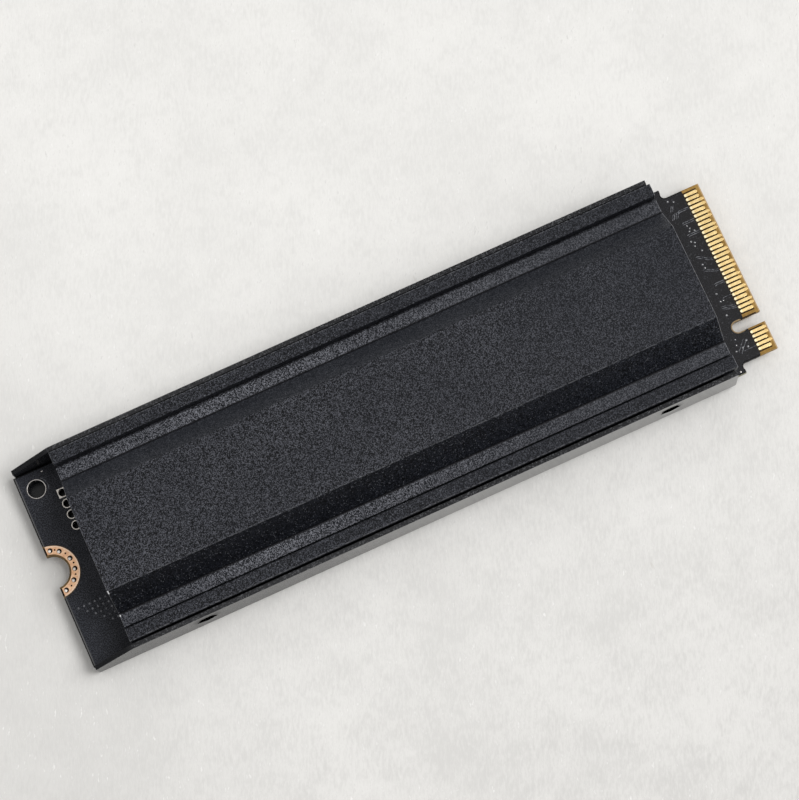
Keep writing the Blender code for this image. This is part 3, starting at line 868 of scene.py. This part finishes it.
def bareLaminate():
    paint = Finish("bare laminate", Roughness=0.5, Specular_IOR_Level=0.12)
    x, y, z = paint.axes("XYZ")
    weaveX = paint.noise(0.25, 1.0, place=paint.stretched((1.0, 0.15, 1.0)))
    weaveY = paint.noise(0.25, 1.0, place=paint.stretched((0.15, 1.0, 1.0)))
    weave = paint.remap(weaveX * 0.5 + weaveY * 0.5, 0.35, 0.65)

    # tan between the contacts, with a dark gap beside each of them: darker laminate, and painted shade between
    # the contacts
    tan = paint.mix(weave, *sawn["tan"])
    tan = paint.mix(paint.remap(x, 39.84, 39.9) * 0.5, tan, sawn["tanRim"])
    phase = (y + 0.25 * (z > 1.7)) % contact["pitch"]
    gap = paint.between(phase, 0.16, 0.34, 0.02) * paint.remap(x, 39.65, 39.45) * (abs(y) < 9.6)
    tan = paint.mix(gap, tan, sawn["gap"])

    # black elsewhere, and browner in the screw hole and the key notch; painted shade down the land's via holes,
    # and a painted pale glint at the near shoulder
    core = paint.mix(weave, *sawn["core"])
    fromScrew = paint.reach(board["endX"], 0, 1.7)
    core = paint.mix(paint.remap(fromScrew, 3.1, 3.0), core, paint.mix(weave, *sawn["hole"]))
    # painted shade: the laminate seen down the land's via holes is dark
    core = paint.mix(paint.between(fromScrew, 2.0, 2.8, 0.03) * (z > 2.0), core, sawn["viaHoleShade"])
    fromKey = paint.reach(37.1, board["keyY"], 1.7)
    core = paint.mix(paint.remap(fromKey, 1.0, 0.9), core, sawn["key"])
    # painted highlight: a pale glint on the edge by the near shoulder
    shoulder = (y < -10.97) * paint.remap(x, 34.3, 34.6)
    core = paint.mix(shoulder * 0.85, core, sawn["shoulder"])
    paint.feed(Base_Color=paint.mix(paint.remap(x, 37.95, 38.0), core, tan))
    paint.bump(weave, 0.008, 0.5)
    return paint


def contactGold():
    paint = Finish("plated gold", Metallic=1.0)
    [x] = paint.axes("X")
    wipe = paint.noise(0.05, 3.0, 0.6, place=paint.stretched((0.04, 1.0, 1.0)))
    cloud = paint.noise(0.6)
    colour = paint.mix(paint.remap(cloud, 0.3, 0.7), *plated["gold"])
    # painted highlight on the contacts' rounded ends by the mask
    colour = paint.mix(paint.remap(x, 38.4, 38.15) * 0.85, colour, plated["goldEndHighlight"])
    colour = paint.mix(paint.remap(x, 39.2, 39.8) * 0.5, colour, plated["goldRubbed"])
    paint.feed(Base_Color=colour, Roughness=paint.remap(wipe, 0.3, 0.7, plated["roughness"]))
    paint.bump(wipe * 0.6 + cloud * 0.4, 0.004, 0.5)
    return paint


def bareCopper():
    paint = Finish("bare copper", Metallic=1.0)
    cloud = paint.noise(0.35, 3.0, 0.6)
    fromScrew = paint.reach(board["endX"], 0, board["high"])
    colour = paint.mix(paint.remap(cloud, 0.3, 0.7), *plated["copper"])
    colour = paint.mix(paint.remap(fromScrew, 2.68, 2.8) * 0.7, colour, plated["copperRim"])
    paint.feed(Base_Color=colour, Roughness=paint.remap(cloud, 0.3, 0.7, plated["roughness"]))
    paint.bump(paint.noise(0.1), 0.006, 0.6)
    return paint


def boardOutline(inset=0.0, tip=None, hole=None, holeSteps=28):
    b = board
    half, tongue = b["half"] - inset, b["tongueHalf"] - inset
    end, tip, shoulder = b["endX"] + inset, tip or b["tipX"] - inset, b["shoulderX"] - inset
    radius, reach = b["reliefRadius"] + inset, b["reliefReach"]
    reliefX, reliefY = b["shoulderX"] + reach, b["tongueHalf"] + b["reliefRadius"]
    cut = math.degrees(math.acos((reach + inset) / radius))
    key, keyHalf = b["keyY"], b["keyWidth"] / 2 + inset
    keyEnd = b["tipX"] - b["keyDepth"] + b["keyWidth"] / 2
    hole = hole or b["screwHole"] + inset
    turn = math.degrees(math.acos(inset / hole))
    points = [(end, -half), (shoulder, -half)]
    points += arc(reliefX, -reliefY, radius, 180 + cut, 90, 12)
    points += [(tip, -tongue), (tip, key - keyHalf)]
    points += arc(keyEnd, key, keyHalf, 270, 90, 16)
    points += [(tip, key + keyHalf), (tip, tongue)]
    points += arc(reliefX, reliefY, radius, 270, 180 - cut, 12)
    points += [(shoulder, half), (end, half)]
    return points + arc(b["endX"], 0, hole, turn, -turn, holeSteps)


def boardHoles(tooling, header):
    holes = [circle(*board["toolingHole"], tooling, 40)]
    return holes + [circle(x, y, header, 24) for x, y in board["header"]]


def contactRows(side):
    # each contact's y, and whether it is a long one
    rows = []
    for place in range(contact["places"][side]):
        if place in contact["keyed"]:
            continue
        beyond = place >= contact["keyed"].stop
        short = place in contact["shortBeyond"] if beyond else place == 0 or place % 3 == 1
        rows.append((contact["first"][side] - place * contact["pitch"], not short))
    return rows


def contactOutline(y, isLong):
    half, back = contact["half"], contact["backX"]
    front, taper, nose = contact["long" if isLong else "short"]
    points = arc(back + half, y, half, 110, 250, 8) + [(front - taper, y - half)]
    return points + arc(front - nose, y, nose, -75, 75, 6) + [(front - taper, y + half)]


def landPoint(angle, reach):
    turn = math.radians(angle)
    return board["endX"] + reach * math.cos(turn), reach * math.sin(turn)


def landOutlines():
    outer, inner, rim = land["outer"], board["screwHole"] + land["rim"], land["rim"]
    outerTurn = math.degrees(math.acos(rim / outer))
    innerTurn = math.degrees(math.acos(rim / inner))
    outline = arc(board["endX"], 0, outer, -outerTurn, outerTurn, 36)
    outline += arc(board["endX"], 0, inner, innerTurn, -innerTurn, 28)
    vias = [circle(*landPoint(angle, land["viaReach"]), land["viaRadius"], 24) for angle in land["vias"]]
    dots = [circle(*landPoint(angle, land["dotReach"]), land["dotRadius"], 12) for angle in land["dots"]]
    return [outline, *vias, *dots]


def buildBoard():
    thickness, copper = board["maskThickness"], board["copper"]
    upper, lower = board["high"] - thickness, board["low"]
    outlines = [boardOutline(), *boardHoles(board["toolingRadius"], board["headerHole"])]
    core = plateMesh(outlines, lower + thickness, upper, 0.02)
    addPiece("boardLaminate", core, [bareLaminate()], ["pcb"], smooth=False)

    mask, gold, bare = solderMask(), contactGold(), bareCopper()
    clear = land["outer"] + land["clear"]
    outlines = [boardOutline(board["maskInset"], board["maskEndX"], clear, 36)]
    outlines += boardHoles(board["toolingClear"], board["headerPad"] + 0.05)
    for side, low in (("Upper", upper), ("Lower", lower)):
        addPiece("mask" + side, plateMesh(outlines, low, low + thickness, 0.012), [mask], smooth=False)
    for side, low in (("Upper", upper), ("Lower", lower - copper)):
        high = low + thickness + copper
        fingers = [contactOutline(y, isLong) for y, isLong in contactRows(side)]
        addPiece("contacts" + side, plateMesh(fingers, low, high, contact["edge"]), [gold])
        addPiece("screwLand" + side, plateMesh(landOutlines(), low, high, 0.02), [bare])


buildBoard()
print("board laminated")


fittings = {
    "proud": (0.02, 0.03),                        # how far they stand out under and over the board
    "edge": 0.03,
    "toolingRing": 1.07,
    "viaFill": (0.18, 0.07),                      # radius and height
    "viaFillShift": (-0.09, -0.03, -0.025),
}

relief = {
    "trackRadius": 0.05,
    "trackRise": 0.03,
    "cap": (0.13, 0.03),                          # radius and height, as for the pin and the dab
    "pin": (0.045, 0.018),
    "cornerDab": (35.25, -10.68),                 # a drop of solder by the near shoulder
    "dab": (0.12, 0.05),
    "rearPin": (-36.87, 10.55),
    "rearPinSize": (0.11, 0.03),
    "vias": [(36.73, 9.16), (36.18, 9.43), (36.9, 6.16), (37.07, 5.77), (36.9, 5.49), (37.45, 5.38),
             (36.57, 4.38), (36.9, 4.16), (36.73, 3.77), (37.23, 3.04), (36.6, 1.6), (36.68, 1.16),
             (36.55, -1.93), (36.94, -2.88), (36.6, -2.88), (36.55, -4.5), (36.22, -7.27), (36.1, -7.9),
             (35.8, -8.5), (36.6, -8.4), (37.17, -8.5), (37.3, -7.8)],
    "stitching": [(-35.9 - 0.62 * column + 0.1 * row, -4.6 - 0.62 * row)
                  for row in range(5) for column in range(6 - row)],
    "tracksEndX": 37.95,
    "tunedApart": 0.21,
    "stubs": [(36.55, 6.6), (36.6, 6.4), (36.5, 5.2), (36.6, 5.0), (36.8, -0.85), (36.85, -1.05),
              (37.0, -2.6), (36.6, -8.77)],       # x where each starts, and y where it runs to the contacts
    "sweeps": [(36.3, 2.62, 1.65, 0.8), (36.3, 2.4, 1.6, 0.75), (36.4, 1.0, 1.55, 0.5), (36.4, 0.8, 1.5, 0.48),
               (36.4, -3.45, 1.5, 0.3), (36.4, -3.65, 1.5, 0.3), (36.5, -3.85, 1.4, 0.28)],
    "pale": ((0.03, 0.033, 0.042), (0.19, 0.195, 0.215)),
}


def thinMaskAndSheen():
    # solder mask drawn thin over raised copper, so it shows paler; its pale colour is also a painted highlight
    # for the lit edges of the tracks and vias
    paint = Finish("thin solder mask", Specular_IOR_Level=0.5, Roughness=0.25)
    streak = paint.noise(0.35, 3.0, 0.65)
    paint.feed(Base_Color=paint.mix(paint.remap(streak, 0.4, 0.62), *relief["pale"]))
    paint.bump(streak, 0.006, 0.6)
    return paint


def addRing(mesh, x, y, inner, outer, steps, square=False):
    # a ring with rounded rims, turned round its own axis
    under, over = fittings["proud"]
    low, high, edge = board["low"] - under, board["high"] + over, fittings["edge"]
    profile = [(inner, low), (inner, high - edge), (inner + edge, high), (outer - edge, high),
               (outer, high - edge), (outer, low)]
    rings = []
    for step in range(steps):
        turn = 2 * math.pi * step / steps
        c, s = math.cos(turn), math.sin(turn)
        grow = 1 / max(abs(c), abs(s)) if square else 1.0
        ring = []
        for index, (r, z) in enumerate(profile):
            reach = r * grow if index > 2 else r
            ring.append(mesh.verts.new((x + reach * c, y + reach * s, z)))
        rings.append(ring)
    for a, b in zip(rings, rings[1:] + rings[:1]):
        for one in range(len(profile)):
            two = (one + 1) % len(profile)
            mesh.faces.new((a[one], b[one], b[two], a[two]))
    bmesh.ops.recalc_face_normals(mesh, faces=mesh.faces[:])


def addDome(mesh, x, y, z, radius, height):
    made = bmesh.ops.create_uvsphere(mesh, u_segments=16, v_segments=10, radius=1.0)["verts"]
    for vert in made:
        vert.co = (x + vert.co.x * radius, y + vert.co.y * radius, z + vert.co.z * height)


def tuned(x, y, count):
    # parallel slanting runs, where a pair is folded to match its length
    bends = [(0, 0), (0.16, 0.22), (0.2, 0.38), (0.38, 0.62)]
    starts = [x + relief["tunedApart"] * one for one in range(count)]
    return [[(start + along, y + up) for along, up in bends] for start in starts]


def sweep(x, y, reach, drop):
    # a run that leaves level, bends down and ends level at the contacts
    return [(x + reach * step / 10, y - drop * eased(step / 10)) for step in range(11)]


def boardTracks():
    endX = relief["tracksEndX"]
    tracks = tuned(35.75, 7.3, 4) + tuned(35.95, 8.2, 2)
    tracks += [[(36.6, y - 0.12), (36.85, y), (endX, y)] for y in (8.0, 7.82)]
    tracks += [[(left, y - 0.05), (left + 0.2, y), (endX, y)] for left, y in relief["stubs"]]
    tracks += [sweep(*run) for run in relief["sweeps"]]
    tracks.append(arc(-38.02, 8.95, 1.22, -25, 50, 8))       # the mask stands off the tooling ring
    return tracks + [[(37.3, -7.8), (36.75, -8.35), (36.2, -9.0)], [(37.05, -7.55), (36.5, -8.1), (36.0, -8.7)]]


def buildFittings():
    ring, pads, fills = bmesh.new(), bmesh.new(), bmesh.new()
    addRing(ring, *board["toolingHole"], board["toolingRadius"], fittings["toolingRing"], 48)
    addPiece("toolingRing", ring, [tin])
    for x, y in board["header"]:
        first = (x, y) == board["header"][0]
        addRing(pads, x, y, board["headerHole"], board["headerPad"], 32, square=first)
    addPiece("headerBarrels", pads, [solder])
    shiftX, shiftY, shiftZ = fittings["viaFillShift"]
    for angle in land["vias"]:
        x, y = landPoint(angle, land["viaReach"])
        addDome(fills, x + shiftX, y + shiftY, board["high"] + shiftZ, *fittings["viaFill"])
    addPiece("solderedVias", fills, [solder])


def buildRelief():
    high, slot = board["high"], "solder_masked_board"
    paleMask = thinMaskAndSheen()
    curve = bpy.data.curves.new("tracks", "CURVE")
    curve.dimensions = "3D"
    curve.bevel_depth = relief["trackRadius"]
    curve.bevel_resolution = 2
    addSplines(curve, boardTracks(), high + relief["trackRise"] - relief["trackRadius"])
    addPiece("coveredTracks", meshOf(curve), [paleMask])

    caps, pins, dab = bmesh.new(), bmesh.new(), bmesh.new()
    for x, y in relief["vias"] + relief["stitching"]:
        addDome(caps, x, y, high - 0.01, *relief["cap"])
    for x, y in relief["vias"]:
        addDome(pins, x, y, high + 0.008, *relief["pin"])
    addDome(pins, *relief["rearPin"], high, *relief["rearPinSize"])
    addDome(dab, *relief["cornerDab"], high, *relief["dab"])
    addPiece("cornerDab", dab, [tin])
    addPiece("tentedVias", caps, [paleMask])
    addPiece("viaPins", pins, [tin])


buildFittings()
buildRelief()
print("board fitted")


chip = {
    "terminal": 0.25,
    "wrap": 0.03,                                 # how far the terminals stand out round the body
    "edge": 0.05,
    "kinds": {
        "capacitor": ("tan ceramic", "capacitor_ceramic"),
        "resistor": ("black resistor glaze", "resistor_ceramic"),
        "inductor": ("grey ferrite", "inductor_ferrite"),
    },
}

package = {
    "moulded": ((0.014, 0.014, 0.015), (0.024, 0.024, 0.026)),
    "substrate": (0.02, 0.05, 0.03),
    "substrateTop": 2.62,
    "roughness": (0.55, 0.72),
}

pad = {
    "grey": ((0.20, 0.21, 0.235), (0.28, 0.29, 0.315)),
    "filler": (0.42, 0.43, 0.45),
    "fillerSize": 0.18,
    "roughness": (0.7, 0.9),
}


def softPad():
    paint = Finish("soft thermal pad", Specular_IOR_Level=0.3)
    cloud = paint.noise(1.2, 3.0)
    cells = paint.cells(pad["fillerSize"], out="Color")
    filler = paint.node("ShaderNodeSeparateColor", {}, {0: cells})
    colour = paint.mix(paint.remap(cloud, 0.3, 0.7), *pad["grey"])
    colour = paint.mix(paint.remap(filler, 0.8, 1.0) * 0.5, colour, pad["filler"])
    paint.feed(Base_Color=colour, Roughness=paint.remap(cloud, 0.3, 0.7, pad["roughness"]))
    paint.bump(paint.noise(0.3, 3.0), 0.03, 0.6)
    return paint


def moulding():
    paint = Finish("filled black moulding", Specular_IOR_Level=0.4)
    [z] = paint.axes("Z")
    grain = paint.noise(0.08, 3.0, 0.6)
    moulded = paint.mix(paint.remap(paint.noise(1.5), 0.3, 0.7), *package["moulded"])
    top = paint.remap(z, package["substrateTop"] - 0.02, package["substrateTop"])
    paint.feed(Base_Color=paint.mix(top, package["substrate"], moulded),
               Roughness=paint.remap(grain, 0.3, 0.7, package["roughness"]))
    paint.bump(grain, 0.008, 0.7)
    return paint


def addBox(mesh, low, high):
    for vert in bmesh.ops.create_cube(mesh, size=1.0)["verts"]:
        vert.co = [a + (b - a) * (t + 0.5) for a, b, t in zip(low, high, vert.co)]


def dressChip(node, finish):
    low, high = [[v / mm for v in corner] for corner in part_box(node)]
    wrap = chip["wrap"]
    terminal = min(chip["terminal"], (high[0] - low[0]) / 5)
    mesh = bmesh.new()
    addBox(mesh, (low[0] + terminal * 0.7, low[1] + wrap, low[2] + wrap),
           (high[0] - terminal * 0.7, high[1] - wrap, high[2] - wrap))
    body = len(mesh.faces)
    addBox(mesh, low, (low[0] + terminal, high[1], high[2]))
    addBox(mesh, (high[0] - terminal, low[1], low[2]), high)
    mesh.faces.ensure_lookup_table()
    for face in mesh.faces[body:]:
        face.material_index = 1
    piece = addPiece("dressed_" + node, mesh, [finish, tin], [node])
    addBevel(piece, chip["edge"], 3)


def dressParts():
    kinds = {kind: (plainFinish(name), slot) for kind, (name, slot) in chip["kinds"].items()}
    mould, grey, lid = moulding(), softPad(), plainFinish("steel lid")
    for node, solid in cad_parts.items():
        for kind, (finish, slot) in kinds.items():
            if kind in node:
                dressChip(node, finish)
        if "package" in node or node in ("controller", "boot_flash", "power_regulator"):
            solid.material_slots[0].material = mould.material
        if "thermal_pad" in node:
            solid.material_slots[0].material = grey.material
        if "crystal" in node:
            solid.material_slots[0].material = lid.material


dressParts()
print("inner parts dressed")
